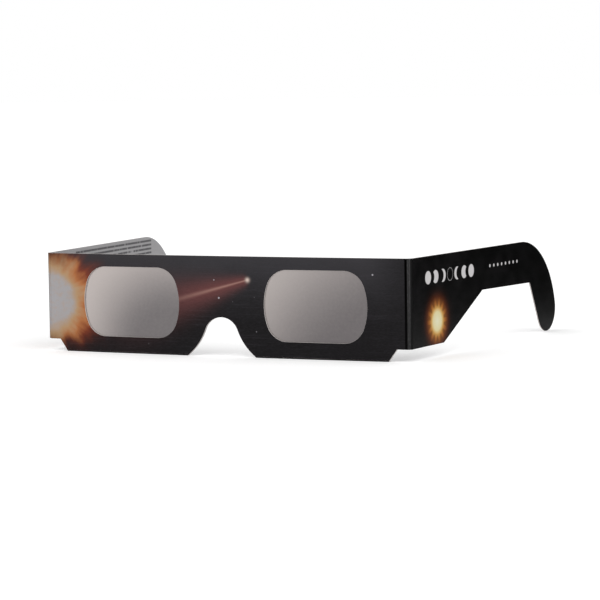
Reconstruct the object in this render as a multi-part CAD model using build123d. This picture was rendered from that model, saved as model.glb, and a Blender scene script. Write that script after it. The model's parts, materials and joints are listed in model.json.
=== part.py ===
from build123d import *
import os
from math import acos, asin, atan2, cos, degrees, hypot, radians, sin, sqrt

# Paper eclipse glasses: a folded card frame, two film windows and two temples hinged on creases
# X runs along the front and the wearer's left is +X. Y runs back towards the ears. Z is up.
# The origin is the middle of the nose notch's mouth: level with the bottom edge, and on the line
# that joins the two front creases.
# All lengths are in millimetres and all angles in degrees.

# Card, film and glue
card = 0.45
film_thickness = 0.08
glue_thickness = 0.08

# Front panel
front_width = 140.9  # from front crease to front crease
front_height = 36.0
front_bow = 1.7  # the middle stands this far in front of the creases
tab_height = 4.4  # the raised ends of the bottom edge
tab_length = 3.9
chamfer_run = 3.1

# Nose notch
nose_mouth = 27.2
nose_height = 14.1
nose_top_radius = 6.7
nose_flare_angle = 20.5  # from upright, where the rounded top meets the flared sides

# Windows, 39.0 by 25.4 and 72.6 apart at these margins
bridge_width = 33.6  # of card between the two windows
window_end_margin = 14.65  # from a window to the front crease
window_top_margin = 4.6
window_bottom_margin = 6.0
window_side_radius = 22.0
window_corner_radius = 8.0

# Films and their glue
film_lap = 2.6  # how far a film reaches past its window
film_corner_radius = 2.0
glue_setback = 0.5  # glue stays this far back from a window's edge
pad_margin = 0.6  # glue pads stay this far from films and from the card's edges

# Back panel
back_window_growth = 0.4  # its windows are this much larger all round
back_top_setback = 0.6
back_end_setback = 1.5
bend_chamfer = 0.28
bend_wall_share = 0.8  # the most of the card's thickness that the bend's chamfers may take

# Crease strips
crease_pitch = 1.6  # between the two creases of a fold
crease_gap = 0.05  # between panels that turn against each other

# Temples, measured back from the temple crease
base_length = 24.9
elbow_reach = 57.7
elbow_depth = 15.4  # from the top edge down
arm_reach = 100.7
arm_depth = 16.0
top_length = 93.1
hook_radius = 33.2
tip_radius = 8.7
elbow_radius = 2.0
corner_radius = 1.0

temple_splay = 5.2  # outwards from straight back

overrun = 5.0  # how far cutting and trimming shapes run past the card


# The front is a slab bent to one radius through the two creases
half_front = front_width / 2
bow_radius = (half_front**2 + front_bow**2) / (2 * front_bow)
bow_centre_y = bow_radius - front_bow
end_angle = degrees(asin(half_front / bow_radius))

# The windows fill what the margins leave of the front
window_width = half_front - bridge_width / 2 - window_end_margin
window_height = front_height - window_top_margin - window_bottom_margin
window_pitch = bridge_width + window_width
window_level = window_bottom_margin + window_height / 2

# How far the fold at each corner is turned from flat, with both its creases together
fold_angle = 90 - temple_splay - end_angle

# Depths behind the middle of the front card
front_face = -card / 2
front_inside = card / 2
film_front = front_inside + glue_thickness
film_back = film_front + film_thickness
back_inside = film_back
back_face = back_inside + card
crease_clear = card / 2 + crease_gap


def bowed(elevation, near, far, setback):
    """The slab between two depths, trimmed to an outline seen from the front and set back from the creases."""
    outer = bow_radius - near
    inner = bow_radius - far
    sweep = end_angle - degrees(setback / bow_radius)
    centre = (0, bow_centre_y)
    with BuildSketch() as plan:
        with BuildLine():
            front_arc = CenterArc(centre, outer, 270 - sweep, 2 * sweep)
            back_arc = CenterArc(centre, inner, 270 - sweep, 2 * sweep)
            Line(front_arc @ 0, back_arc @ 0)
            Line(front_arc @ 1, back_arc @ 1)
        make_face()
    slab = extrude(plan.sketch, amount=front_height)
    prism = extrude(Plane.XZ * elevation, amount=half_front, both=True)
    return (slab & prism).solid()


def nose_notch():
    """Bell-shaped notch: a rounded top on two sides that flare out to the mouth."""
    flare = nose_flare_angle
    top_centre = (0, nose_height - nose_top_radius)
    with BuildSketch() as notch:
        with BuildLine():
            top = CenterArc(top_centre, nose_top_radius, flare, 180 - 2 * flare)
            down = (sin(radians(flare)), -cos(radians(flare)))
            for end, side in ((0, 1), (1, -1)):
                mouth = (side * nose_mouth / 2, 0)
                below = (side * nose_mouth / 2, -overrun)
                TangentArc(top @ end, mouth, tangent=(side * down[0], down[1]))
                Line(mouth, below)
            Line((-nose_mouth / 2, -overrun), (nose_mouth / 2, -overrun))
        make_face()
    return notch.sketch


def front_outline():
    """The front seen square on, running past the creases at each end."""
    past = half_front + overrun
    tab = half_front - tab_length
    low = tab - chamfer_run
    with BuildSketch() as outline:
        with BuildLine():
            Polyline(
                (-past, front_height),
                (-past, tab_height),
                (-tab, tab_height),
                (-low, 0),
                (low, 0),
                (tab, tab_height),
                (past, tab_height),
                (past, front_height),
                close=True,
            )
        make_face()
        add(nose_notch(), mode=Mode.SUBTRACT)
    return outline.sketch


def window(side, growth):
    """Barrel-sided window: flat top and bottom, bulged sides and rounded corners."""
    half_width = window_width / 2 + growth
    half_height = window_height / 2 + growth
    bulge = window_side_radius + growth
    with BuildSketch() as opening:
        with Locations((side * window_pitch / 2, window_level)):
            Rectangle(2 * half_width, 2 * half_height)
            for end in (-1, 1):
                with Locations((end * (half_width - bulge), 0)):
                    Circle(bulge, mode=Mode.INTERSECT)
        fillet(opening.vertices(), window_corner_radius + growth)
    return opening.sketch


def film_outline(side):
    """The rectangle of film behind one window."""
    with BuildSketch() as outline:
        with Locations((side * window_pitch / 2, window_level)):
            RectangleRounded(window_width + 2 * film_lap, window_height + 2 * film_lap, film_corner_radius)
    return outline.sketch


def band(low, high):
    """Everything between two heights."""
    with BuildSketch() as strip:
        with Locations((0, (low + high) / 2)):
            Rectangle(front_width + 2 * overrun, high - low)
    return strip.sketch


def front_panel():
    """The printed card: notch, two windows, and bottom edges that end where the bends begin."""
    lowest = card
    outline = front_outline() & band(lowest, front_height)
    outline = outline - window(1, 0) - window(-1, 0)
    return bowed(outline, front_face, front_inside, crease_clear)


def back_panel():
    """The inner card, folded up from the bottom edges and cut a little smaller than the front."""
    lowest = card
    outline = front_outline() & band(lowest, front_height - back_top_setback)
    outline = outline - window(1, back_window_growth) - window(-1, back_window_growth)
    return bowed(outline, back_inside, back_face, back_end_setback)


def bottom_fold(side):
    """The bend from the front panel to the back panel, flat underneath with chamfered edges."""
    with BuildSketch() as half:
        with Locations((side * front_width / 4, card / 2)):
            Rectangle(front_width / 2, card)
    outline = front_outline() & half.sketch
    bend = bowed(outline, front_face, back_face, crease_clear)
    underside = bend.faces().sort_by(Axis.Z)[0]
    long_edges = underside.edges().filter_by(GeomType.CIRCLE).sort_by(SortBy.LENGTH)[-2:]
    return bend.chamfer(min(bend_chamfer, bend_wall_share * card), None, long_edges)


def lens_film(side):
    """One sheet of filter film."""
    return bowed(film_outline(side), film_front, film_back, crease_clear)


def lens_glue(side):
    """The ring of glue that holds one film to the inside of the front panel."""
    ring = film_outline(side) - window(side, glue_setback)
    return bowed(ring, front_inside, film_front, crease_clear)


def end_glue(side):
    """The pad of glue between one film and the end of the back panel."""
    inner = half_front - window_end_margin + film_lap + pad_margin
    outer = half_front - back_end_setback - pad_margin
    low = tab_height + pad_margin
    high = front_height - back_top_setback - pad_margin
    with BuildSketch() as pad:
        with Locations((side * (inner + outer) / 2, (low + high) / 2)):
            Rectangle(outer - inner, high - low)
    return bowed(pad.sketch, front_inside, back_inside, crease_clear)


def bridge_glue():
    """The pad of glue over the nose notch, between the two films."""
    half_width = bridge_width / 2 - film_lap - pad_margin
    low = nose_height + pad_margin
    high = front_height - back_top_setback - pad_margin
    with BuildSketch() as pad:
        with Locations((0, (low + high) / 2)):
            Rectangle(2 * half_width, high - low)
    return bowed(pad.sketch, front_inside, back_inside, crease_clear)


def front_crease(side):
    """Where the crease between the front panel and the strip stands, seen from above."""
    return (side * half_front, 0)


def strip_direction(side):
    """The way the strip runs from the front crease, after half of the fold."""
    turn = radians(end_angle + fold_angle / 2)
    return (side * cos(turn), sin(turn))


def temple_crease(side):
    """Where the crease between the strip and the temple stands, seen from above."""
    run = strip_direction(side)
    start = front_crease(side)
    return (start[0] + crease_pitch * run[0], start[1] + crease_pitch * run[1])


def crease_strip(side):
    """The narrow upright strip at a corner, rounded about the crease at each edge."""
    start, end, run = front_crease(side), temple_crease(side), strip_direction(side)
    middle = ((start[0] + end[0]) / 2, (start[1] + end[1]) / 2)
    with BuildSketch() as plan:
        with Locations(Location((middle[0], middle[1], 0), (0, 0, degrees(atan2(run[1], run[0]))))):
            SlotCenterToCenter(crease_pitch, card)
    strip = extrude(plan.sketch, amount=front_height - tab_height)
    return strip.solid().moved(Location((0, 0, tab_height)))


def temple_outline():
    """One temple seen square on, with the distance behind its crease across and the height up."""
    hook_centre = (top_length, front_height - hook_radius)
    rise = hook_centre[1] - tip_radius
    tip_centre = (top_length + sqrt((hook_radius - tip_radius) ** 2 - rise**2), tip_radius)
    meet = degrees(atan2(-rise, tip_centre[0] - top_length))
    inner_corner = (arm_reach, front_height - arm_depth)
    across = (inner_corner[0] - tip_centre[0], inner_corner[1] - tip_centre[1])
    leave = degrees(atan2(across[1], across[0]) + acos(tip_radius / hypot(*across)))
    with BuildSketch() as outline:
        with BuildLine():
            tip = CenterArc(tip_centre, tip_radius, leave, 360 + meet - leave)
            hook = CenterArc(hook_centre, hook_radius, meet, 90 - meet)
            start = crease_clear
            Polyline(
                hook @ 1,
                (start, front_height),
                (start, tab_height),
                (base_length, tab_height),
                (elbow_reach, front_height - elbow_depth),
                inner_corner,
                tip @ 0,
            )
        make_face()
        corners = outline.vertices()
        fillet(nearest(corners, (elbow_reach, front_height - elbow_depth)), elbow_radius)
        corners = outline.vertices()
        fillet(nearest(corners, (base_length, tab_height)), corner_radius)
        corners = outline.vertices()
        fillet(nearest(corners, inner_corner), corner_radius)
    return outline.sketch


def nearest(corners, place):
    """The corner of an outline that lies nearest to a place."""
    return min(corners, key=lambda v: hypot(v.X - place[0], v.Y - place[1]))


def temple(side):
    """The card arm on one side, turned about its crease to where it stands."""
    turn = radians(temple_splay)
    back = (side * sin(turn), cos(turn), 0)
    outward = (back[1], -back[0], 0)
    crease = temple_crease(side)
    plane = Plane(origin=(crease[0], crease[1], 0), x_dir=back, z_dir=outward)
    return extrude(plane * temple_outline(), amount=card / 2, both=True).solid()


pieces = {
    "front_panel": front_panel(),
    "back_panel": back_panel(),
    "bridge_glue_pad": bridge_glue(),
}
for side_name, side in (("left", 1), ("right", -1)):
    pieces[f"{side_name}_bottom_fold"] = bottom_fold(side)
    pieces[f"{side_name}_lens_film"] = lens_film(side)
    pieces[f"{side_name}_lens_glue"] = lens_glue(side)
    pieces[f"{side_name}_end_glue_pad"] = end_glue(side)
    pieces[f"{side_name}_crease_strip"] = crease_strip(side)
    pieces[f"{side_name}_temple"] = temple(side)
    print(side_name, "front crease at", front_crease(side))
    print(side_name, "temple crease at", temple_crease(side))
print("each fold turned", round(fold_angle, 3), "degrees from flat")

os.makedirs("parts", exist_ok=True)
for name, piece in pieces.items():
    piece.label = name
    export_step(piece, f"parts/{name}.step")
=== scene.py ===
import json

import bmesh
import bpy
import numpy as np
from mathutils import Matrix, Vector


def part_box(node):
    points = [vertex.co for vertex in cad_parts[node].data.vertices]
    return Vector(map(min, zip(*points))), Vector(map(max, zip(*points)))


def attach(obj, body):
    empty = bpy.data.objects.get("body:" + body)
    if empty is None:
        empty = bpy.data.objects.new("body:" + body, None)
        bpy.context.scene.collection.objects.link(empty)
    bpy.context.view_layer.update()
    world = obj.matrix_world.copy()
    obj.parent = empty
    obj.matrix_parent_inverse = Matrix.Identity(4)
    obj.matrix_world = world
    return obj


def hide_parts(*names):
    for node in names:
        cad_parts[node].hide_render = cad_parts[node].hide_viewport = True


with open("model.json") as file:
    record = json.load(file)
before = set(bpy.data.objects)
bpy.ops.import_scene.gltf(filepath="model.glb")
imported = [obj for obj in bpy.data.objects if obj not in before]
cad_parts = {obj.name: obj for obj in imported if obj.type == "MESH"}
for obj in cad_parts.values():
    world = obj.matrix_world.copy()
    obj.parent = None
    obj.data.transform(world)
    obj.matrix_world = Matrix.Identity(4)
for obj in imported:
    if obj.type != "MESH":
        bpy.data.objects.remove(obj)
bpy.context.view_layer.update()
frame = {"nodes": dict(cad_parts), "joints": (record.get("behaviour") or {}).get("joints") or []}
mm = 0.001
scene = bpy.context.scene

card = {
    "thickness": 0.45,
    "glue": 0.08,  # the layer that holds each film to the card
    "film": 0.08,
    "edgeRound": 0.09,  # the die presses every cut edge round
    "creaseClear": 0.215,  # each panel ends this far from its crease, just within the strip's round edge
    "splay": 5.2,  # each temple leans outwards, in degrees
    "tabHeight": 4.4,
    "tabLength": 3.9,
    "chamferRun": 3.1,
    "foldHeight": 0.45,  # the bend along the bottom edge is this high
    "backDrop": 0.6,  # the back card ends this far below the top
    "backSetback": 1.5,  # and this far from each crease
}


def jointPlace(name):
    joint = next(j for j in frame["joints"] if j["name"] == name)
    return np.array(joint["pos_m"]) / mm


def nodeBox(name):
    return [np.array(corner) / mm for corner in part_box(name)]


def sideName(side):
    return "left" if side > 0 else "right"


# The frame gives the creases, the height and the bow of the front
frontCrease = jointPlace("left_front_crease")[:2]
templeCrease = jointPlace("left_temple_crease")[:2]
creasePitch = np.linalg.norm(templeCrease - frontCrease)
halfFront = frontCrease[0]
lowest, highest = nodeBox("front_panel")
height = highest[2]
bow = -lowest[1] - card["thickness"] / 2
bowRadius = (halfFront**2 + bow**2) / (2 * bow)
bowCentre = bowRadius - bow

# Depths behind the middle of the front card
half = card["thickness"] / 2
filmFront = half + card["glue"]
filmBack = filmFront + card["film"]
backFace = filmBack + card["thickness"]


def bowed(x, z, depth):
    # the front is rolled about one upright axis: a point stands at the radius less its depth from that axis,
    # turned by the angle whose sine is x over the radius
    turn = np.arcsin(x / bowRadius)
    reach = bowRadius - depth
    return np.stack(np.broadcast_arrays(reach * np.sin(turn), bowCentre - reach * np.cos(turn), z), -1)


def unit(ways):
    # the same directions with a length of 1
    return ways / np.linalg.norm(ways, axis=-1, keepdims=True)


def wayAt(turn):
    # the direction at an angle from straight across
    return np.stack([np.cos(turn), np.sin(turn)], -1)


def arc(centre, radius, start, end, steps):
    # points at equal angles from start to end, in degrees, about a centre
    turn = np.radians(np.linspace(start, end, steps + 1))
    return np.add(centre, radius * wayAt(turn))


def joined(*runs):
    # one line through several runs of points, with repeated points left out
    line = np.concatenate([np.atleast_2d(run) for run in runs])
    step = np.linalg.norm(np.diff(line, axis=0), axis=1)
    return line[np.concatenate([[True], step > 1e-6])]


def lengths(line):
    # the distance along a line from its start to each of its points
    return np.concatenate([[0], np.cumsum(np.linalg.norm(np.diff(line, axis=0), axis=1))])


def along(line, reach):
    # the points at given distances along a line
    run = lengths(line)
    return np.stack([np.interp(reach, run, line[:, axis]) for axis in (0, 1)], -1)


def finer(line, spacing):
    # the same line with points added, so that none are further apart than the spacing
    run = lengths(line)
    parts = [np.linspace(a, b, int(np.ceil((b - a) / spacing)) + 1)[:-1] for a, b in zip(run[:-1], run[1:])]
    return along(line, np.concatenate([*parts, [run[-1]]]))


def rounded(corners, radii, steps=5):
    # an open line whose inner corners are arcs that touch both their sides
    runs = [corners[0]]
    for before, corner, after, radius in zip(corners[:-2], corners[1:-1], corners[2:], radii):
        back, ahead = [unit(np.subtract(end, corner)) for end in (before, after)]
        opening = np.arccos(back @ ahead) / 2
        centre = corner + unit(back + ahead) * radius / np.sin(opening)
        first, last = [np.subtract(corner, centre) + way * radius / np.tan(opening) for way in (back, ahead)]
        start = np.degrees(np.arctan2(first[1], first[0]))
        sweep = (np.degrees(np.arctan2(last[1], last[0])) - start + 180) % 360 - 180
        runs.append(arc(centre, radius, start, start + sweep, steps))
    return joined(*runs, corners[-1])


def smoothStep(value, low, high):
    # 0 below low, 1 above high, and a smooth rise between
    share = np.clip((value - low) / (high - low), 0, 1)
    return share * share * (3 - 2 * share)


def gridFaces(rowCount, columnCount, roundRows, roundColumns):
    # the four corners of every cell of a grid, whose rows or columns may run round to the start
    rows = np.arange(rowCount if roundRows else rowCount - 1)
    columns = np.arange(columnCount if roundColumns else columnCount - 1)
    a, b = np.meshgrid(rows, columns, indexing="ij")
    c = (a + 1) % rowCount
    d = (b + 1) % columnCount
    corners = [a * columnCount + b, c * columnCount + b, c * columnCount + d, a * columnCount + d]
    return np.stack(corners, -1).reshape(-1, 4)


def endFaces(rowCount, columnCount):
    # the first and the last row of a grid, each as one face
    return [list(range(columnCount)), list(range(columnCount * (rowCount - 1), columnCount * rowCount))]


def placed(name, data):
    # an object of the scene
    item = bpy.data.objects.new(name, data)
    scene.collection.objects.link(item)
    return item


def makePiece(name, points, faces, slots, finishes, body, node):
    # points in millimetres and lists of corners become one closed mesh that faces outwards
    mesh = bpy.data.meshes.new(name)
    mesh.from_pydata((np.asarray(points).reshape(-1, 3) * mm).tolist(), [], [list(face) for face in faces])
    for finish in finishes:
        mesh.materials.append(finish)
    mesh.polygons.foreach_set("material_index", np.asarray(slots, np.int32))
    shape = bmesh.new()
    shape.from_mesh(mesh)
    bmesh.ops.remove_doubles(shape, verts=shape.verts, dist=2e-7)
    bmesh.ops.recalc_face_normals(shape, faces=shape.faces)
    openEdges = sum(not edge.is_manifold for edge in shape.edges)
    shape.to_mesh(mesh)
    shape.free()
    mesh.set_sharp_from_angle(angle=np.radians(38))
    piece = placed(name, mesh)
    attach(piece, body)
    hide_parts(node)
    print("made", name, "with", len(mesh.polygons), "faces and", openEdges, "open edges")
    return piece


def maths(operation, *items):
    # a Math node of wires and numbers, in the finish of the wires
    finish = next(item.finish for item in items if isinstance(item, Wire))
    return finish.node("Math", {"operation": operation}, dict(enumerate(items)))


class Wire:
    # one socket of a finish; sums written with it become Math nodes
    def __init__(self, finish, socket):
        self.finish = finish
        self.socket = socket

    def other(self, name):
        return Wire(self.finish, self.socket.node.outputs[name])

    def __add__(self, item):
        return maths("ADD", self, item)

    __radd__ = __add__

    def __sub__(self, item):
        return maths("SUBTRACT", self, item)

    def __rsub__(self, item):
        return maths("SUBTRACT", item, self)

    def __mul__(self, item):
        return maths("MULTIPLY", self, item)

    __rmul__ = __mul__

    def __truediv__(self, item):
        return maths("DIVIDE", self, item)

    def __abs__(self):
        return maths("ABSOLUTE", self)


class Finish:
    # the nodes of a material, or of the world, while they are being made
    def __init__(self, holder):
        self.holder = holder
        holder.use_nodes = True
        self.tree = holder.node_tree
        self.tree.nodes.clear()

    def node(self, kind, settings, sockets, output=0):
        made = self.tree.nodes.new("ShaderNode" + kind)
        for name, item in settings.items():
            setattr(made, name, item)
        for key, item in sockets.items():
            if isinstance(item, Wire):
                self.tree.links.new(item.socket, made.inputs[key])
            else:
                made.inputs[key].default_value = item
        return Wire(self, made.outputs[output]) if made.outputs else None

    def place(self, origin=(0, 0), turn=0):
        # object coordinates in millimetres, from an origin and along turned axes
        spot = self.node("TexCoord", {}, {}, "Object")
        sockets = {
            "Vector": spot,
            "Location": (origin[0] * mm, origin[1] * mm, 0),
            "Rotation": (0, 0, turn),
            "Scale": (mm, mm, mm),
        }
        moved = self.node("Mapping", {"vector_type": "TEXTURE"}, sockets)
        x = self.node("SeparateXYZ", {}, {"Vector": moved})
        return x, x.other("Y"), x.other("Z")


def newFinish(name):
    return Finish(bpy.data.materials.new(name))


def least(a, b):
    return maths("MINIMUM", a, b)


def most(a, b):
    return maths("MAXIMUM", a, b)


def distance(a, b):
    return maths("SQRT", a * a + b * b)


def rise(item, low, high):
    sockets = {"Value": item, "From Min": low, "From Max": high}
    return item.finish.node("MapRange", {"interpolation_type": "SMOOTHSTEP"}, sockets)


def bell(item, width):
    return maths("EXPONENT", (item / width) * (item / width) * -1)


def tint(share, a, b):
    a, b = [item if isinstance(item, Wire) else (*item, 1) for item in (a, b)]
    return share.finish.node("Mix", {"data_type": "RGBA"}, {0: share, 6: a, 7: b}, 2)


def colourRamp(item, stops):
    # each stop is a place along the ramp and the colour there
    made = item.finish.node("ValToRGB", {}, {"Fac": item})
    elements = made.socket.node.color_ramp.elements
    while len(elements) < len(stops):
        elements.new(1)
    for element, (place, colour) in zip(elements, stops):
        element.position = place
        element.color = (*colour, 1)
    return made


def noise(x, y, z, detail=3.0, roughness=0.55):
    spot = x.finish.node("CombineXYZ", {}, {0: x, 1: y, 2: z})
    sockets = {"Vector": spot, "Scale": 1.0, "Detail": detail, "Roughness": roughness}
    return x.finish.node("TexNoise", {}, sockets)


def surface(look, colour, change, height, metallic=0.0):
    # the change is added to the look's roughness, and a height of 1 raises the surface by its bump
    finish = colour.finish
    bump = {"Height": height, "Strength": 1.0, "Distance": look["bump"] * mm}
    sockets = {
        "Base Color": colour,
        "Roughness": look["roughness"] + change,
        "Specular IOR Level": look["sheen"],
        "Metallic": metallic,
        "Normal": finish.node("Bump", {}, bump),
    }
    shader = finish.node("BsdfPrincipled", {}, sockets)
    finish.node("OutputMaterial", {}, {"Surface": shader})
    return finish.holder


# The printed side. The picture runs over the whole card: u is the distance across the unfolded card from the
# middle of the front, and v is the height.
picture = {
    "groundLow": (0.0072, 0.0065, 0.0070),
    "groundHigh": (0.0385, 0.0365, 0.0405),
    "foldShadeColour": (0.0078, 0.0072, 0.0078),
    "armGround": (0.0022, 0.0021, 0.0021),
    "armHaze": (0.0062, 0.0058, 0.0060),
    "climb": (10.0, 42.0),  # the heights between which the ground grows paler
    "foldShadeStart": (54.0, 72.0),  # painted shade darkens the ground towards the folds between these distances
    "armStart": (71.0, 72.4),
    "streak": (0.06, 0.055, 0.065),
    "sunCentre": (-70.8, 19.0),  # the large sun is wrapped round the wearer's right corner
    "sunRadius": 10.5,
    "sunFade": (10.5, 18.0),  # above and below its middle it sinks into the dark between these two distances
    "cometHead": (10.5, 27.6),
    "cometLean": 15.0,  # its tail falls away to the wearer's right, in degrees
    "mark": (0.60, 0.585, 0.59),  # the pale ink of the marks on the temples
    "markShare": 0.94,
    "roughness": 0.46,
    "sheen": 0.06,
    "bump": 0.022,
}

star = {
    "spacing": 8.5,
    "colour": (0.50, 0.48, 0.52),
    "offWindow": (0.9, 1.6),  # they fade in between these distances from a window
    "offBottom": (1.5, 2.5),  # and between these heights
    "offTop": (33.8, 34.6),  # and fade out between these
}
smallSun = {"centre": (19.6, 12.6), "core": 4.3, "halo": 11.0, "rays": 14}
phases = {
    "left": 9.6,
    "right": 52.0,
    "pitch": 5.9,
    "count": 7,
    "height": 28.4,
    "radius": 2.4,
    "step": 1.6,  # from one disc to the next the dark disc moves this much further across
    "cover": 0.93,
}
dots = {"start": 62.5, "pitch": 3.5, "count": 8, "height": 29.0, "radius": 0.62}

# Painted shade along the scores. A black line of painted shade lies on the front beside the wearer's left
# corner, over the score's groove. At the right corner the print is only dimmed by a weaker painted shade
score = {
    "line": (69.42, 69.62),  # across the front, where the line of painted shade begins
    "lineLow": 0.82,  # how dark it is at the bottom
    "lineClimb": 0.16,  # and how much darker at the top
    "lineShadeColour": (0.0008, 0.0007, 0.0007),
    # painted shade where the front turns into the wearer's right corner
    "dim": (69.9, 70.4),
    "dimShare": 0.25,
    "dimShadeColour": (0.010, 0.009, 0.009),
    "temple": (0.35, 0.75),  # back from the temple crease, where the temple's line of painted shade ends
    "templeShare": 0.75,
    "templeShadeColour": (0.004, 0.004, 0.004),
}

# Worn ink and a painted highlight over the ridge between two scores, out from the front crease
ridge = {
    "near": (0.02, 0.10),
    "far": (0.86, 1.0),
    "valley": 0.40,  # the middle, between its two shoulders of painted highlight
    "valleyWidth": 0.15,
    "ink": (0.006, 0.006, 0.006),
    "bareCardAndHighlight": (0.21, 0.205, 0.21),
}


def cardGrain(x, y, z):
    # fine fibres that lie along the card, over softer clouds
    fibre = noise(x * 0.9, y * 0.9, z * 7.0, 4.0, 0.6)
    cloud = noise(x * 0.12 + 30, y * 0.12, z * 0.16, 3.0)
    return fibre, cloud


def skyGround(u, v, fibre, cloud):
    # dark ground, paler towards the top edge, with painted shade towards the folds, and darkest on the
    # temples
    climb = rise(v + (cloud - 0.5) * 8, *picture["climb"])
    ground = tint(climb, picture["groundLow"], picture["groundHigh"])
    paintedFoldShade = rise(abs(u), *picture["foldShadeStart"]) * 0.8
    ground = tint(paintedFoldShade, ground, picture["foldShadeColour"])
    onArm = rise(abs(u), *picture["armStart"])
    arm = tint(rise(cloud, 0.35, 0.7), picture["armGround"], picture["armHaze"])
    ground = tint(onArm, ground, arm)
    sweep = noise(u * 0.045, 7.0, v * 1.5, 3.0, 0.6)
    streak = rise(fibre, 0.38, 0.75) * 0.18 + rise(sweep, 0.52, 0.78) * 0.22
    streak = streak * (1 - onArm * 0.8)
    return tint(streak, ground, picture["streak"])


def bigSun(u, v, ground):
    # a pale disc with a grain, amber and orange at its limb, then a dark red glow. Its edge wanders with a
    # soft noise, and streamers push the glow out along some directions
    centre = picture["sunCentre"]
    radius = picture["sunRadius"]
    du = u - centre[0]
    dv = v - centre[1]
    away = most(distance(du, dv), 0.5)
    swirl = noise(u * 0.16, v * 0.16, 4.0, 3.0, 0.5)
    streamer = noise(du / away * 3.6, dv / away * 3.6, away * 0.05, 3.0, 0.55)
    outer = rise(away, radius - 2, radius + 9)
    reach = away + (swirl - 0.5) * 6 - (streamer - 0.5) * outer * 17
    stops = [
        (0.00, (0.355, 0.345, 0.360)),
        (0.26, (0.345, 0.330, 0.335)),
        (0.36, (0.400, 0.255, 0.140)),
        (0.46, (0.405, 0.150, 0.055)),
        (0.58, (0.225, 0.046, 0.020)),
        (0.74, (0.085, 0.021, 0.015)),
        (1.00, (0.030, 0.016, 0.017)),
    ]
    disc = colourRamp(reach / (3.2 * radius), stops)
    grain = rise(noise(u * 0.55, v * 0.55, 9.0, 4.0, 0.6), 0.42, 0.72) * 0.30
    disc = tint(grain * (1 - rise(reach, radius - 1, radius + 6)), disc, (0.41, 0.27, 0.17))
    shown = 1 - rise(reach, radius + 2, radius + 22)
    sunk = rise(abs(dv) + (swirl - 0.5) * 5, *picture["sunFade"]) * 0.8
    return tint(shown * (1 - sunk), ground, disc)


def comet(u, v, ground, fibre):
    # a comet over the nose: distance back along the tail, and distance to the side of it
    lean = np.radians(picture["cometLean"])
    du = u - picture["cometHead"][0]
    dv = v - picture["cometHead"][1]
    back = du * -np.cos(lean) + dv * -np.sin(lean)
    side = abs(du * np.sin(lean) + dv * -np.cos(lean))
    behind = rise(back, -1.0, 1.5)
    spread = most(back, 0.0)
    veil = bell(side / (1.6 + spread * 0.17), 1.0) * behind * rise(back * -1, -70.0, -8.0)
    core = bell(side / (0.22 + spread * 0.022), 1.0) * behind * (1 - rise(back, 6.0, 44.0))
    head = bell(distance(back, side), 0.80)
    lit = tint(veil * (0.45 + fibre * 0.7), ground, (0.150, 0.052, 0.050))
    lit = tint(core * 0.75, lit, (0.33, 0.18, 0.15))
    return tint(head, lit, (0.62, 0.50, 0.44))


def stars(u, v, ground):
    # one star in some cells of an uneven net, each of its own size
    spacing = star["spacing"]
    spot = u.finish.node("CombineXYZ", {}, {0: u / spacing, 1: v / spacing, 2: 0.0})
    settings = {"voronoi_dimensions": "2D", "feature": "F1"}
    sockets = {"Vector": spot, "Scale": 1.0, "Randomness": 1.0}
    near = u.finish.node("TexVoronoi", settings, sockets, "Distance")
    lot = u.finish.node("SeparateColor", {}, {"Color": near.other("Color")})
    size = (rise(lot, 0.45, 1.0) * 0.22 + 0.06) / spacing
    lit = rise(size - near, -0.022, 0.006) * rise(lot, 0.45, 0.75)
    beside = abs(abs(u) - window["x"]) - window["halfWide"]
    over = abs(v - window["z"]) - window["halfHigh"]
    room = rise(most(beside, over), *star["offWindow"])
    room = room * rise(v, *star["offBottom"]) * (1 - rise(v, *star["offTop"]))
    return tint(lit * room * 0.7, ground, star["colour"])


def raySun(s, v, ground):
    # a small sun on the temple: a pale core in a warm halo, with tapered rays counted round it
    du = s - smallSun["centre"][0]
    dv = v - smallSun["centre"][1]
    reach = distance(du, dv)
    turn = maths("ARCTAN2", dv, du)
    beat = maths("COSINE", turn * smallSun["rays"]) * 0.5 + 0.5
    taper = rise(reach, smallSun["core"] + 1.0, smallSun["halo"])
    ray = rise(beat, taper * 0.75 + 0.25, taper * 0.75 + 0.45)
    stops = [
        (0.00, (0.74, 0.72, 0.52)),
        (0.30, (0.70, 0.62, 0.34)),
        (0.42, (0.60, 0.34, 0.09)),
        (0.55, (0.42, 0.15, 0.03)),
        (0.78, (0.20, 0.045, 0.010)),
        (1.00, (0.05, 0.012, 0.005)),
    ]
    glow = colourRamp(reach / smallSun["halo"], stops)
    core = 1 - rise(reach, smallSun["core"], smallSun["core"] + 2.6)
    halo = (1 - rise(reach, smallSun["core"], smallSun["halo"] + 3)) * 0.55
    rays = ray * (1 - taper) * 0.9
    return tint(most(core, most(halo, rays)), ground, glow)


def rowPlace(s, row, start):
    # which place of a row of marks a point belongs to, how far across from its middle it is, and 1 in the row
    count = (s - start) / row["pitch"]
    number = maths("FLOOR", count)
    inRow = rise(count, -0.01, 0.0) * (1 - rise(count, row["count"], row["count"] + 0.01))
    return number, (count - number - 0.5) * row["pitch"], inRow


def phaseRow(s, v, ground, start):
    # a row of pale discs that a dark one crosses
    number, across, inRow = rowPlace(s, phases, start)
    up = v - phases["height"]
    offset = (number - (phases["count"] - 1) / 2) * phases["step"]
    disc = 1 - rise(distance(across, up), phases["radius"] - 0.12, phases["radius"])
    shade = distance(across - offset, up) - phases["radius"] * phases["cover"]
    share = disc * rise(shade, -0.06, 0.06) * inRow * picture["markShare"]
    return tint(share, ground, picture["mark"])


def dotRow(s, v, ground):
    # a row of small pale dots
    _, across, inRow = rowPlace(s, dots, dots["start"])
    reach = distance(across, v - dots["height"])
    spot = 1 - rise(reach, dots["radius"] - 0.1, dots["radius"] + 0.06)
    return tint(spot * inRow * picture["markShare"], ground, picture["mark"])


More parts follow.
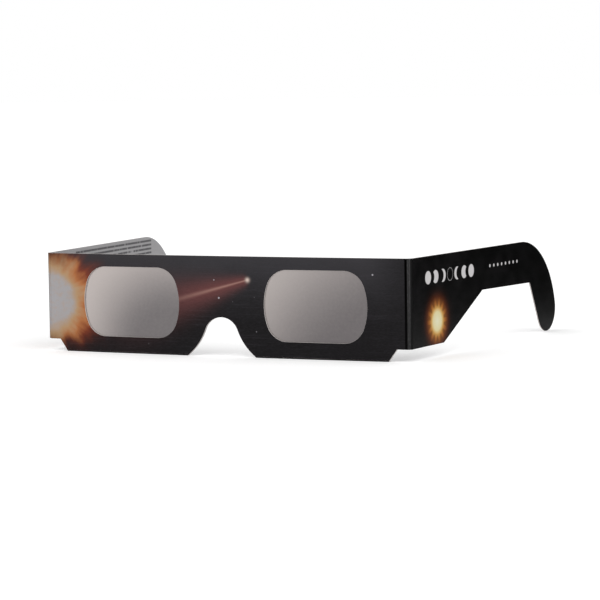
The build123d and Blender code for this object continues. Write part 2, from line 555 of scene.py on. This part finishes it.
def printSurface(colour, x, y, z, fibre, cloud, paintedScoreShade=0.0):
    # ink on smooth card: a low sheen, a trace of the press and a slight tooth. Where the score's shade is
    # painted it has no sheen, which black metal gives
    tooth = noise(x * 5.0, y * 5.0, z * 5.0, 2.0)
    height = fibre * 0.5 + tooth * 0.3 + cloud * 0.8
    change = (fibre - 0.5) * 0.16 + (cloud - 0.5) * 0.10
    return surface(picture, colour, change, height, paintedScoreShade)


def frontPrint():
    x, y, z = newFinish("frontPrint").place()
    fibre, cloud = cardGrain(x, y, z)
    colour = skyGround(x, z, fibre, cloud)
    colour = comet(x, z, colour, fibre)
    colour = stars(x, z, colour)
    colour = bigSun(x, z, colour)
    # painted shade of the score's groove, darker towards the top
    climb = rise(z, 4.0, 28.0) * score["lineClimb"] + score["lineLow"]
    paintedScoreShade = rise(x, *score["line"]) * climb
    # a weaker painted shade at the wearer's right corner
    dim = rise(x * -1, *score["dim"]) * score["dimShare"]
    colour = tint(dim, colour, score["dimShadeColour"])
    colour = tint(paintedScoreShade, colour, score["lineShadeColour"])
    return printSurface(colour, x, y, z, fibre, cloud, paintedScoreShade)


def templePlace(side, name):
    # for a new finish: along the temple from its crease, outwards from it, and up
    turn = np.pi / 2 - side * np.radians(card["splay"])
    finish = newFinish(sideName(side) + name)
    return finish.place((side * templeCrease[0], templeCrease[1]), turn)


def templePrint(side):
    s, n, v = templePlace(side, "TemplePrint")
    fibre, cloud = cardGrain(s, n, v)
    u = (s + halfFront + creasePitch) * side
    colour = skyGround(u, v, fibre, cloud)
    if side > 0:
        colour = dotRow(s, v, raySun(s, v, colour))
        colour = phaseRow(s, v, colour, phases["left"])
    else:
        colour = bigSun(u, v, colour)
        colour = phaseRow(s, v, colour, phases["right"])
    # painted shade along the temple's score, beside its crease
    line = 1 - rise(s, *score["temple"])
    colour = tint(line * score["templeShare"], colour, score["templeShadeColour"])
    return printSurface(colour, s, n, v, fibre, cloud)


def stripPrint(side):
    # on the wearer's left the ink is stretched thin over the ridge, and pale flecks of card show; they and a
    # painted highlight lie mostly along its two shoulders. On the right the sun's print runs on, with painted
    # shade darker towards the temple
    x, y, z = newFinish(sideName(side) + "RidgePrintAndPaintedLight").place()
    fibre, cloud = cardGrain(x, y, z)
    out = abs(x) - halfFront
    if side > 0:
        shown = rise(out, *ridge["near"]) * (1 - rise(out, *ridge["far"]))
        valley = bell(out - ridge["valley"], ridge["valleyWidth"])
        highlightShoulders = 1 - valley * rise(z, 10.0, 32.0) * 0.55
        fleck = rise(noise(x * 3.0, y * 3.0, z * 0.9, 4.0, 0.7), 0.44, 0.66)
        # paler towards the top of the ridge, as part of the painted highlight
        worn = rise(z, 8.0, 30.0) * 0.35 + 0.65
        share = shown * highlightShoulders * worn * (0.14 + fleck * 0.12)
        colour = tint(share, ridge["ink"], ridge["bareCardAndHighlight"])
    else:
        colour = bigSun(x, z, skyGround(x, z, fibre, cloud))
        # painted shade, darker towards the temple
        colour = tint(rise(out, 0.1, 1.1) * 0.5, colour, score["dimShadeColour"])
    return printSurface(colour, x, y, z, fibre, cloud)


# The unprinted side, plain or with ruled lines
inside = {
    "colour": (0.325, 0.318, 0.325),
    "line": (0.070, 0.067, 0.072),
    "speck": (0.22, 0.20, 0.19),
    "wrap": (0.012, 0.011, 0.012),  # the print that comes round the bend
    "wrapHeight": (1.55, 1.65),
    "roughness": 0.72,
    "sheen": 0.22,
    "bump": 0.03,
}
ruled = {"top": 35.1, "pitch": 1.62, "width": 0.80, "start": 24.0, "end": 99.6, "margin": 1.6}


def plainPaper(x, y, z):
    # soft grey card with fine pulp, short fibres and a few darker specks
    pulp = noise(x * 1.3, y * 1.3, z * 1.3, 4.0, 0.65)
    hair = noise(x * 5.0, y * 5.0, z * 14.0, 3.0, 0.6)
    shade = rise(pulp * 0.5 + hair * 0.5, 0.30, 0.70)
    darker = tuple(0.91 * c for c in inside["colour"])
    lighter = tuple(1.07 * c for c in inside["colour"])
    speck = rise(noise(x * 3.1, y * 3.1, z * 3.1, 1.0), 0.72, 0.78) * 0.5
    return tint(speck, tint(shade, darker, lighter), inside["speck"]), pulp, hair


def paperSurface(colour, pulp, hair):
    # matt, with the pulp and the fibres just raised
    return surface(inside, colour, (pulp - 0.5) * 0.12, pulp + hair * 0.5)


def insideOfTemple(side):
    s, n, v = templePlace(side, "TempleInside")
    colour, pulp, hair = plainPaper(s, n, v)
    # rows of short dashes, broken and uneven by noise that runs along each row
    count = (ruled["top"] - v) / ruled["pitch"]
    row = maths("FLOOR", count)
    middle = abs(count - row - 0.5) * ruled["pitch"]
    broken = noise(s * 0.62, row * 3.7, 1.0, 2.0, 0.7)
    uneven = noise(s * 2.4, row * 3.7, 5.0, 1.0)
    edge = middle - (uneven * 0.7 + 0.65) * (ruled["width"] / 2)
    line = (1 - rise(edge, -0.13, 0.13)) * rise(broken, 0.38, 0.42)
    # they keep off the temple's lower edge, which runs level, then up the slanted step, then level again
    low = card["tabHeight"]
    high = height - temple["elbow"][1]
    slope = low + (s - temple["base"]) * ((high - low) / (temple["elbow"][0] - temple["base"]))
    floor = least(most(slope, low), high) + ruled["margin"]
    room = rise(v - floor, 0.0, 0.3) * rise(s, ruled["start"], ruled["start"] + 0.3)
    room = room * (1 - rise(s, ruled["end"] - 0.3, ruled["end"]))
    room = room * (1 - rise(v, ruled["top"] - 0.2, ruled["top"] - 0.1))
    worn = 0.78 + rise(hair, 0.3, 0.6) * 0.20
    colour = tint(line * room * worn, colour, inside["line"])
    return paperSurface(colour, pulp, hair)


def insideOfFront():
    # the wearer's side: the print wraps round the bend and ends in a slightly uneven line
    x, y, z = newFinish("wearerSide").place()
    colour, pulp, hair = plainPaper(x, y, z)
    wrap = 1 - rise(z + (pulp - 0.5) * 0.25, *inside["wrapHeight"])
    colour = tint(wrap, colour, inside["wrap"])
    return paperSurface(colour, pulp, hair)


cutEdge = {
    "dark": (0.47, 0.435, 0.42),
    "pale": (0.68, 0.64, 0.62),
    "roughness": 0.85,
    "bump": 0.03,
    "sheen": 0.2,
}


def cutCard():
    # the pale core of the card, with its layers showing as lines along the cut
    x, y, z = newFinish("cutCard").place()
    layers = noise(x * 2.0, y * 14.0, z * 2.0, 4.0, 0.7)
    hair = noise(x * 9.0, y * 9.0, z * 9.0, 2.0)
    colour = tint(rise(layers, 0.3, 0.7), cutEdge["dark"], cutEdge["pale"])
    return surface(cutEdge, colour, (hair - 0.5) * 0.1, layers + hair)


# The filter film: a thin metal coat on clear film, with a painted reflection in its colour, darker towards
# one corner
coat = {
    "roughness": 0.30,
    "metal": 0.9,
    "sheen": 0.5,
    "fleck": (0.62, 0.56, 0.54),
    "bump": 0.12,
    "left": {
        "middle": (37.0, -40.0),  # of the rings along which the painted reflection is even, from the middle of the window
        "near": 40.9,
        "far": 87.0,
        "dark": (0.146, 0.134, 0.136),
        "light": (0.477, 0.433, 0.415),
    },
    "right": {
        "middle": (15.0, -15.7),
        "near": 11.9,
        "far": 41.6,
        "dark": (0.162, 0.150, 0.152),
        "light": (0.478, 0.431, 0.413),
    },
}


def filterFilm(side):
    # painted reflection: dark near the middle of the rings and lighter further out
    paintedReflection = coat[sideName(side)]
    x, y, z = newFinish(sideName(side) + "Film").place((side * window["x"], 0))
    up = z - window["z"]
    warp = noise(x * 0.045 + 8, 3.0 + side, up * 0.045, 2.0, 0.4)
    away = distance(x - paintedReflection["middle"][0], up - paintedReflection["middle"][1]) + (warp - 0.5) * 3
    share = rise(away, paintedReflection["near"], paintedReflection["far"])
    colour = tint(share, paintedReflection["dark"], paintedReflection["light"])
    fine = noise(x * 1.1, y, up * 1.1, 3.0, 0.5)
    colour = tint((fine - 0.5) * 0.10 + 0.02, colour, coat["fleck"])
    ripple = noise(x * 0.10, 5.0, up * 0.13, 2.0, 0.5)
    return surface(coat, colour, (fine - 0.5) * 0.08, ripple + fine * 0.05, coat["metal"])


dried = {
    "thin": (0.66, 0.63, 0.56),
    "thick": (0.80, 0.78, 0.72),
    "roughness": 0.36,
    "bump": 0.05,
    "sheen": 0.5,
}


def driedGlue():
    # clouded and half shiny
    x, y, z = newFinish("driedGlue").place()
    blot = noise(x * 0.7, y * 0.7, z * 0.7, 4.0, 0.6)
    colour = tint(rise(blot, 0.35, 0.65), dried["thin"], dried["thick"])
    return surface(dried, colour, (blot - 0.5) * 0.2, blot)


window = {
    "bridge": 33.6,
    "endMargin": 14.65,
    "topMargin": 4.6,
    "bottomMargin": 6.0,
    "sideRadius": 22.0,
    "cornerRadius": 8.0,
    "backGrowth": 0.4,  # the back card's windows are this much larger all round
}
window["halfWide"] = (halfFront - window["bridge"] / 2 - window["endMargin"]) / 2
window["halfHigh"] = (height - window["topMargin"] - window["bottomMargin"]) / 2
window["x"] = window["bridge"] / 2 + window["halfWide"]
window["z"] = window["bottomMargin"] + window["halfHigh"]

notch = {"topRadius": 6.7, "height": 14.1, "flare": 20.5, "halfMouth": 13.6}
notch["centre"] = np.array([0, notch["height"] - notch["topRadius"]])
notch["way"] = wayAt(np.radians(notch["flare"]))
notch["flareStart"] = notch["centre"] + notch["topRadius"] * notch["way"]
flareChord = np.array([notch["halfMouth"], 0]) - notch["flareStart"]
notch["flareRadius"] = flareChord @ flareChord / (2 * flareChord @ notch["way"])
notch["flareCentre"] = notch["flareStart"] + notch["flareRadius"] * notch["way"]


edgeStep = 1.2  # points along an edge are no further apart than this


def closedLine(quarter):
    # a whole line about the origin, from the quarter of it that is to the right and above
    upper = joined(quarter, quarter[::-1] * (-1, 1))
    return finer(joined(upper, upper[::-1] * (1, -1)), edgeStep)[:-1]


def windowEdge(growth):
    # flat top and bottom, sides on a large circle, and corners on a small one that touches both. The line is
    # about the window's centre
    wide = window["halfWide"] + growth
    high = window["halfHigh"] + growth
    side = window["sideRadius"] + growth
    corner = window["cornerRadius"] + growth
    up = high - corner
    across = np.sqrt((side - corner) ** 2 - up**2)
    lean = np.degrees(np.arctan2(up, across))
    sideCentre = (wide - side, 0)
    cornerCentre = (wide - side + across, up)
    sideRun = arc(sideCentre, side, 0, lean, 8)
    return closedLine(joined(sideRun, arc(cornerCentre, corner, lean, 90, 18), (0, high)))


def mouthAt(z):
    # where the flared side of the notch stands at a height
    fall = notch["flareCentre"][1] - z
    return notch["flareCentre"][0] - np.sqrt(notch["flareRadius"] ** 2 - fall**2)


def chamferAt(z):
    # where the slanted end of the bottom edge stands at a height
    low = halfFront - card["tabLength"] - card["chamferRun"]
    return low + card["chamferRun"] * z / card["tabHeight"]


def halfOutline(top, setback):
    # the wearer's left half of the front above its bend, square on: over the top, down the end, back along
    # the bottom, up the notch, and up the middle to the start
    bottom = card["foldHeight"]
    end = halfFront - setback
    tab = card["tabHeight"]
    fall = notch["flareCentre"][1] - bottom
    last = 180 + np.degrees(np.arcsin(fall / notch["flareRadius"]))
    flare = arc(notch["flareCentre"], notch["flareRadius"], last, 180 + notch["flare"], 14)
    dome = arc(notch["centre"], notch["topRadius"], notch["flare"], 90, 16)
    endRun = [(0, top), (end, top), (end, tab), (chamferAt(tab), tab), (chamferAt(bottom), bottom)]
    return finer(joined(endRun, flare, dome, (0, top)), edgeStep)[:-1]


def turnsOf(line):
    # the direction of each point from the origin, counted from straight across
    return np.arctan2(line[:, 1], line[:, 0]) % (2 * np.pi)


def cross(a, b):
    return a[:, 0] * b[:, 1] - a[:, 1] * b[:, 0]


def crossing(way, turns, line):
    # where rays from the origin cross a closed line: how far along a ray they meet is the cross product of a
    # side's start with the side, over that of the ray with the side
    line = line[np.argsort(turnsOf(line))]
    after = np.searchsorted(turnsOf(line), turns)
    start = line[after - 1]
    run = line[after % len(line)] - start
    return way * (cross(start, run) / cross(way, run))[:, None]


def commonRays(outline, edge):
    # an outline and a window's edge, met by the same rays from the window's centre: one through each point of
    # the outline, and one through each point of the edge that isn't almost on one of those
    centre = np.array([window["x"], window["z"]])
    turnOut, turnIn = turnsOf(outline - centre), turnsOf(edge)
    apart = np.abs(np.exp(1j * turnIn)[:, None] - np.exp(1j * turnOut)[None]).min(1)
    turns = np.sort(np.concatenate([turnOut, turnIn[apart > 8e-3]]))
    way = wayAt(turns)
    return centre + crossing(way, turns, edge), centre + crossing(way, turns, outline - centre), way


def cardSection(inner, innerIn, outer, outerIn, near, far, rows):
    # a closed loop round the card at every station: over the near face, round the outer cut edge, back over
    # the far face and round the inner one. A cut edge is a quarter circle, a flat and a quarter circle.
    # Points held close to each edge keep the faces smooth up to it
    gap = np.linalg.norm(outer - inner, axis=1)[:, None]
    r = card["edgeRound"]
    inset = np.minimum(r, gap / 2.2)
    hold = np.minimum(0.7 * r, gap / 12)
    turn = np.radians([30, 60, 90])
    sink = r * (1 - np.cos(turn))
    back = (inset * (1 - np.sin(turn)))[..., None]
    start = inner + inset * innerIn
    step = outer + inset * outerIn - start
    share = hold / np.maximum(gap, 1e-9)
    shares = np.concatenate([0 * gap, share, share + rows * (1 - 2 * share), 1 - share, 0 * gap + 1], 1)
    face = start[:, None] + step[:, None] * shares[..., None]
    outRim = outer[:, None] + back * outerIn[:, None]
    inRim = inner[:, None] + back * innerIn[:, None]
    plan = np.concatenate([face, outRim, outRim[:, ::-1], face[:, ::-1], inRim, inRim[:, ::-1]], 1)
    flat = np.ones(face.shape[1])
    down = near + sink
    up = far - sink
    depth = np.concatenate([near * flat, down, up[::-1], far * flat, up, down[::-1]])
    edge = np.ones(2 * len(turn))
    zone = np.concatenate([0 * flat, edge, 2 * flat, 3 * edge])
    return plan, depth, zone


def cellSlots(zone):
    # 0 for the near face, 1 for the far face and 2 for a cut edge; a cell that leaves a face still counts as
    # face. The second answer is true for the cells of the outer cut edge
    following = np.roll(zone, -1)
    cell = np.where(zone == following, zone, np.where(zone % 2 == 0, zone, following))
    return np.select([cell == 0, cell == 2], [0, 1], 2), (zone == 1) | (following == 1)


# What the die and the glue leave on the outer face of each card
relief = {"filmLift": 0.03, "filmLap": 2.6, "liftWidth": 1.3, "wave": 0.03}


def cardRelief(x, z, phase):
    # a low plateau over each film, and long shallow waves that die out at the creases and the bottom edge
    dx = np.abs(np.abs(x) - window["x"]) - window["halfWide"] - relief["filmLap"]
    dz = np.abs(z - window["z"]) - window["halfHigh"] - relief["filmLap"]
    lift = 1 - smoothStep(np.maximum(dx, dz), -relief["liftWidth"], 0)
    wave = np.sin(x / 9.7 + z / 17 + phase) + 0.7 * np.sin(x / 23 - z / 11 + 2 * phase)
    calm = 1 - smoothStep(np.abs(x), halfFront - 9, halfFront - 1)
    calm = calm * smoothStep(z, card["foldHeight"], 4)
    return (relief["filmLift"] * lift + relief["wave"] * wave) * calm


frontCard = {
    "top": height,
    "setback": card["creaseClear"],
    "growth": 0.0,
    "near": -half,
    "far": half,
    "phase": 0.4,
    "printed": True,
}
backCard = {
    "top": height - card["backDrop"],
    "setback": card["backSetback"],
    "growth": window["backGrowth"],
    "near": filmBack,
    "far": backFace,
    "phase": 2.1,
    "printed": False,
}


def cardWithWindows(name, spec, finishes, node):
    # rays from a window's centre carry one section each, from the window's edge to the outline. The other
    # half of the card is the mirror image, and the two meet in the middle without a wall
    outline = halfOutline(spec["top"], spec["setback"])
    inner, outer, way = commonRays(outline, windowEdge(spec["growth"]))
    middle = np.abs(outer[:, 0]) < 1e-6
    first, last = np.flatnonzero(middle)[[0, -1]]
    outerIn = np.where(middle[:, None], 0, -way)
    outerIn[first] = (0, -1)
    outerIn[last] = (0, 1)
    gap = np.linalg.norm(outer - inner, axis=1)[:, None]
    band = np.minimum(4.2 / gap, 0.7)  # the rows lie close together near the window
    closeRows = band * np.linspace(0.08, 1, 10)
    wideRows = band + (1 - band) * np.linspace(0.09, 0.97, 11)
    rows = np.concatenate([closeRows, wideRows], 1)
    plan, depth, zone = cardSection(inner, way, outer, outerIn, spec["near"], spec["far"], rows)
    x, z = plan[..., 0], plan[..., 1]
    lean = (depth - spec["near"]) / (spec["far"] - spec["near"]) - (1 if spec["printed"] else 0)
    slots, rim = cellSlots(zone)
    slots = np.broadcast_to(slots, x.shape).copy()
    atCrease = outer[:, 0] > halfFront - spec["setback"] - 1e-3
    slots[np.ix_(atCrease & np.roll(atCrease, -1), rim)] = 0
    keep = ~((middle & np.roll(middle, -1))[:, None] & rim[None])
    faces = gridFaces(*x.shape, True, True)[keep.reshape(-1)]
    points = []
    for side in (1, -1):
        shift = lean * cardRelief(side * x, z, spec["phase"])
        points.append(bowed(side * x, z, depth + shift).reshape(-1, 3))
    points = np.concatenate(points)
    faces = np.concatenate([faces, faces + x.size])
    slots = np.tile(slots[keep], 2)
    return makePiece(name, points, faces, slots, finishes, "front", node)


bend = {"radius": 0.30, "steps": 60}


def bottomBend(name, side, finishes, node):
    # a section with a rounded underside, carried along the bottom edge from the notch to the slanted end
    r = bend["radius"]
    top = card["foldHeight"]
    profile = joined(
        (-half, top),
        arc((-half + r, r), r, 180, 270, 8),
        arc((backFace - r, r), r, 270, 360, 8),
        (backFace, top),
    )
    depth, z = profile[:, 0], profile[:, 1]
    share = np.linspace(0, 1, bend["steps"] + 1)[:, None]
    x = mouthAt(z) + (chamferAt(z) - mouthAt(z)) * share
    points = bowed(side * x, z, depth)
    faces = [*gridFaces(*x.shape, False, True), *endFaces(*x.shape)]
    slots = np.zeros(len(faces))
    slots[-2:] = 2
    return makePiece(name, points, faces, slots, finishes, "front", node)


filmShape = {
    "lap": 2.6,
    "corner": 2.0,
    "belly": 0.10,
    "ripple": 0.018,
    "seat": 0.07,
    "seatWidth": 0.45,
    "rings": 27,
}


def filmSheet(name, side, finish, node):
    # rings out from the middle to the window's edge and on to a rounded rectangle, over the front of the film
    # and back over its other face. The glue leaves the film free beside the window, so there it is drawn
    # forward onto the card. In the window it bellies as a product of two parabolas, with shallow ripples
    wide = window["halfWide"] + filmShape["lap"]
    high = window["halfHigh"] + filmShape["lap"]
    r = filmShape["corner"]
    outline = closedLine(joined((wide, 0), arc((wide - r, high - r), r, 0, 90, 6), (0, high)))
    centre = np.array([window["x"], window["z"]])
    inner, outer, _ = commonRays(outline + centre, windowEdge(0))
    inner, outer = (inner - centre)[:, None], (outer - centre)[:, None]
    gap = np.linalg.norm(outer - inner, axis=2)
    ring = np.linspace(0, 1, filmShape["rings"]) ** 0.8
    near = np.linspace(0, filmShape["seatWidth"], 6)[1:] / gap
    share = np.concatenate([near, near[:, -1:] + (1 - near[:, -1:]) * np.array([0.35, 0.7, 1])], 1)
    plan = np.concatenate([inner * ring[:, None], inner + (outer - inner) * share[..., None]], 1)
    away = np.concatenate([0 * ring + 0 * gap, share * gap], 1)
    plan, away = [np.concatenate([item, item[:, ::-1]], 1) for item in (plan, away)]
    dx, dz = plan[..., 0], plan[..., 1]
    depth = np.repeat([filmFront, filmBack], dx.shape[1] // 2)
    freeWide = np.clip(1 - (dx / window["halfWide"]) ** 2, 0, 1)
    freeHigh = np.clip(1 - (dz / window["halfHigh"]) ** 2, 0, 1)
    room = freeWide * freeHigh
    ripple = np.sin(dx / 5.1 + dz / 3.3 + side) + 0.6 * np.sin(dx / 2.9 - dz / 6.7 + 2 * side)
    seat = filmShape["seat"] * (1 - smoothStep(away, 0.05, filmShape["seatWidth"]))
    shift = -seat - filmShape["belly"] * room - filmShape["ripple"] * (ripple + 1.6) * room**0.5
    points = bowed(side * (window["x"] + dx), window["z"] + dz, depth + shift)
    faces = gridFaces(*dx.shape, True, False)
    return makePiece(name, points, faces, np.zeros(len(faces)), [finish], "front", node)


strip = {"crown": 0.07, "rows": 24}


def creaseStrip(name, side, finishes, node):
    # a flat slot seen from above, with a low crown on its printed side, carried up the corner. Both cut ends
    # are quarter circles towards its middle
    r = card["edgeRound"]
    steps = np.linspace(0, 1, 11)
    crowned = np.stack([steps * creasePitch, half + strip["crown"] * np.sin(np.pi * steps)], -1)
    templeEnd = arc((creasePitch, 0), half, 90, -90, 8)
    flat = np.array([(creasePitch, -half), (0, -half)])
    frontEnd = arc((0, 0), half, -90, -270, 8)
    profile = joined(crowned, templeEnd, flat, frontEnd)[:-1]
    ahead = unit(np.roll(profile, -1, 0) - np.roll(profile, 1, 0))
    inwards = np.stack([ahead[:, 1], -ahead[:, 0]], -1)
    turn = np.radians([0, 30, 60, 90])
    sink = r * (1 - np.cos(turn))
    back = r * (1 - np.sin(turn))
    bottom = card["tabHeight"]
    levels = np.linspace(bottom, height, strip["rows"])[1:-1]
    z = np.concatenate([bottom + sink, levels, height - sink[::-1]])
    inset = np.concatenate([back, 0 * levels, back[::-1]])
    plan = profile[None] + inset[:, None, None] * inwards[None]
    run = (templeCrease - frontCrease) / creasePitch
    out = np.array([run[1], -run[0]])
    spot = frontCrease + plan[..., :1] * run + plan[..., 1:] * out
    points = np.stack(np.broadcast_arrays(side * spot[..., 0], spot[..., 1], z[:, None]), -1)
    size = points.shape[:2]
    faces = [*gridFaces(*size, False, True), *endFaces(*size)]
    onBack = plan[:-1, :, 1].reshape(-1) < -half * 0.6
    slots = np.concatenate([np.where(onBack, 1, 0), [2, 2]])
    body = sideName(side) + "_strip"
    return makePiece(name, points, faces, slots, finishes, body, node)


temple = {
    "base": 24.9,
    "elbow": (57.7, 15.4),  # back from the crease, and down from the top edge
    "arm": (100.7, 16.0),
    "topLength": 93.1,
    "hookRadius": 33.2,
    "tipRadius": 8.7,
    "radii": (1.0, 2.0, 1.0),  # of the corners at the base, the elbow and the hook
    "hookMeet": 60.0,  # where on the hook's outer arc the line from its inner corner ends, in degrees
    "warp": 0.10,
}


def templeEdges():
    # the lower and the upper edge from the crease to the middle of the tip, with stations that match
    hookCentre = np.array([temple["topLength"], height - temple["hookRadius"]])
    tip = temple["tipRadius"]
    up = hookCentre[1] - tip
    run = np.sqrt((temple["hookRadius"] - tip) ** 2 - up**2)
    tipCentre = np.array([temple["topLength"] + run, tip])
    meet = np.degrees(np.arctan2(-up, run))
    corners = [(temple[key][0], height - temple[key][1]) for key in ("elbow", "arm")]
    across = corners[1] - tipCentre
    leave = np.degrees(np.arctan2(across[1], across[0]) + np.arccos(tip / np.linalg.norm(across)))
    pole = (leave + 360 + meet) / 2
    start = card["creaseClear"]
    tipArc = arc(tipCentre, tip, leave, pole, 18)
    lowerCorners = [(start, card["tabHeight"]), (temple["base"], card["tabHeight"]), *corners, tipArc[0]]
    lower = joined(rounded(lowerCorners, temple["radii"]), tipArc)
    hook = arc(hookCentre, temple["hookRadius"], 90, meet, 48)
    upper = joined((start, height), hook, arc(tipCentre, tip, 360 + meet, pole, 18))
    lower = finer(lower, 0.9)
    hookTurn = np.radians(temple["hookMeet"])
    hookPoint = hookCentre + temple["hookRadius"] * wayAt(hookTurn)
    keyPairs = [(corner, (corner[0], height)) for corner in lowerCorners[:3]]
    keyPairs += [(lowerCorners[3], hookPoint), (tipArc[0], hook[-1])]
    lowKeys, highKeys = [
        [lengths(line)[np.linalg.norm(line - pair[which], axis=1).argmin()] for pair in keyPairs]
        for which, line in ((0, lower), (1, finer(upper, 0.2)))
    ]
    reach = lengths(lower)
    lowKeys.append(reach[-1])
    highKeys.append(lengths(upper)[-1])
    return lower, along(upper, np.interp(reach, lowKeys, highKeys))


def inwardsOf(line, turn):
    # the unit normals of a line, to its left with turn 1 and to its right with turn -1
    ahead = unit(np.gradient(line, axis=0))
    return np.stack([-ahead[:, 1], ahead[:, 0]], -1) * turn


def templeArm(name, side, finishes, node):
    # stations from the crease to the tip carry a closed section from the lower edge to the upper edge. The
    # arm bows outwards a little as half a sine, and its hook twists by a hair
    lower, upper = templeEdges()
    lowerIn, upperIn = inwardsOf(lower, 1), inwardsOf(upper, -1)
    rows = np.linspace(0.07, 0.93, 11)[None].repeat(len(lower), 0)
    plan, depth, zone = cardSection(lower, lowerIn, upper, upperIn, -half, half, rows)
    s, z = plan[..., 0], plan[..., 1]
    reach = s / s.max()
    warp = temple["warp"] * (np.sin(np.pi * reach) + 0.5 * (z / height - 0.5) * smoothStep(reach, 0.4, 1))
    out = warp - depth
    lean = np.radians(card["splay"])
    x = templeCrease[0] + s * np.sin(lean) + out * np.cos(lean)
    y = templeCrease[1] + s * np.cos(lean) - out * np.sin(lean)
    points = np.stack([side * x, y, z], -1)
    # the end at the crease is one face, and at the tip the two edges meet
    faces = [*gridFaces(*s.shape, False, True), list(range(len(zone)))]
    cells, _ = cellSlots(zone)
    slots = np.concatenate([np.tile(cells, len(s) - 1), [0]])
    body = sideName(side) + "_arm"
    return makePiece(name, points, faces, slots, finishes, body, node)


print("making the finishes")
frontInk = frontPrint()
wearerSide = insideOfFront()
core = cutCard()
glue = driedGlue()

print("making the card and the film")
cardWithWindows("frontCard", frontCard, [frontInk, wearerSide, core], "front_panel")
cardWithWindows("backCard", backCard, [wearerSide, wearerSide, core], "back_panel")
for side in (1, -1):
    name = sideName(side)
    armFinishes = [templePrint(side), insideOfTemple(side), core]
    bottomBend(name + "BottomBend", side, [frontInk, wearerSide, core], name + "_bottom_fold")
    filmSheet(name + "FilterFilm", side, filterFilm(side), name + "_lens_film")
    ridgeFinishes = [stripPrint(side), wearerSide, core]
    creaseStrip(name + "CreaseRidge", side, ridgeFinishes, name + "_crease_strip")
    templeArm(name + "TempleArm", side, armFinishes, name + "_temple")

for name, node in frame["nodes"].items():
    if "glue" in name:
        node.data.materials.clear()
        node.data.materials.append(glue)

studio = {
    "level": 0.80,
    "floorHalf": 30000.0,
    "floorColour": (0.97, 0.97, 0.97, 1),
    "floorLift": 0.13,
    "clothColour": (0.005, 0.005, 0.005, 1),
}
cloth = {"start": 100, "wall": 210, "bend": 60, "top": 400, "lift": 0.4, "near": 50.0, "far": 800.0}
lamps = {
    "key": {"way": (0.1, 0.80, -1.0), "power": 0.65, "spread": 50},
    "fill": {"way": (-0.9, 0.5, -0.8), "power": 0.40, "spread": 70},
}


def backgroundShare(finish):
    # 1 for what the camera sees, straight or in a shiny or clear surface
    path = finish.node("LightPath", {}, {}, "Is Camera Ray")
    return most(path, most(path.other("Is Glossy Ray"), path.other("Is Transmission Ray")))


def studioSheet(name, points, faces, finish, shader):
    # points in millimetres become a mesh with one plain finish
    finish.node("OutputMaterial", {}, {"Surface": shader})
    mesh = bpy.data.meshes.new(name)
    mesh.from_pydata((np.array(points) * mm).tolist(), [], faces)
    mesh.materials.append(finish.holder)
    return placed(name, mesh)


def studioFloor():
    # matt, and lifted a little for the camera
    r = studio["floorHalf"]
    corners = [(-r, -r, 0), (r, -r, 0), (r, r, 0), (-r, r, 0)]
    finish = newFinish("paleFloor")
    paint = finish.node("BsdfDiffuse", {}, {"Color": studio["floorColour"]})
    glow = finish.node("Emission", {}, {"Strength": backgroundShare(finish) * studio["floorLift"]})
    shader = finish.node("AddShader", {}, {0: paint, 1: glow})
    floor = studioSheet("floor", corners, [(0, 1, 2, 3)], finish, shader)


def darkFlag():
    # a black sheet beside the wearer's left temple, which only the card's shine sees: a flat on the floor
    # that turns up through a quarter circle into a wall
    r = cloth["bend"]
    lift = cloth["lift"]
    corner = arc((cloth["wall"] - r, lift + r), r, 270, 360, 12)
    profile = joined((cloth["start"], lift), corner, (cloth["wall"], cloth["top"]))
    reach = np.array([cloth["near"], cloth["far"]])
    points = np.stack(np.broadcast_arrays(profile[:, :1], reach, profile[:, 1:]), -1).reshape(-1, 3)
    faces = gridFaces(len(profile), 2, False, False).tolist()
    finish = newFinish("blackCloth")
    shader = finish.node("BsdfDiffuse", {}, {"Color": studio["clothColour"]})
    flag = studioSheet("darkFlag", points, faces, finish, shader)
    for kind in ("camera", "diffuse", "transmission", "volume_scatter", "shadow"):
        setattr(flag, "visible_" + kind, False)


def studioLight():
    # an even white world, and two soft lamps
    scene.world = bpy.data.worlds.new("studio")
    finish = Finish(scene.world)
    strength = studio["level"] + backgroundShare(finish) * (1 - studio["level"])
    shine = finish.node("Background", {}, {"Color": (1, 1, 1, 1), "Strength": strength})
    finish.node("OutputWorld", {}, {"Surface": shine})
    for name, spec in lamps.items():
        lamp = bpy.data.lights.new(name, "SUN")
        lamp.energy = spec["power"]
        lamp.angle = np.radians(spec["spread"])
        holder = placed(name, lamp)
        holder.rotation_mode = "QUATERNION"
        holder.rotation_quaternion = Vector(spec["way"]).to_track_quat("-Z", "Y")


def photoCamera():
    # turned by the yaw about the upright axis, tipped by the pitch and rolled about the line of sight
    view = {
        "place": (368.78, -764.70, 93.22),
        "yaw": 23.860,
        "pitch": 4.866,
        "roll": -0.803,
        "lens": 143.276,
        "shift": (-0.0025, -0.0058),
    }
    yaw, pitch, roll = [np.radians(view[key]) for key in ("yaw", "pitch", "roll")]
    ahead = np.array([-np.sin(yaw) * np.cos(pitch), np.cos(yaw) * np.cos(pitch), -np.sin(pitch)])
    level = np.array([np.cos(yaw), np.sin(yaw), 0])
    over = np.cross(level, ahead)
    right = np.cos(roll) * level + np.sin(roll) * over
    up = np.cos(roll) * over - np.sin(roll) * level
    lens = bpy.data.cameras.new("photoCamera")
    lens.lens = view["lens"]
    lens.sensor_width = 36
    lens.shift_x, lens.shift_y = view["shift"]
    lens.clip_start, lens.clip_end = 0.01, 100
    turn = Matrix(np.stack([right, up, -ahead], -1).tolist()).to_4x4()
    scene.camera = placed("photoCamera", lens)
    scene.camera.matrix_world = Matrix.Translation(Vector(view["place"]) * mm) @ turn


print("setting up the studio")
studioFloor()
darkFlag()
studioLight()
photoCamera()
scene.view_settings.view_transform = "Standard"
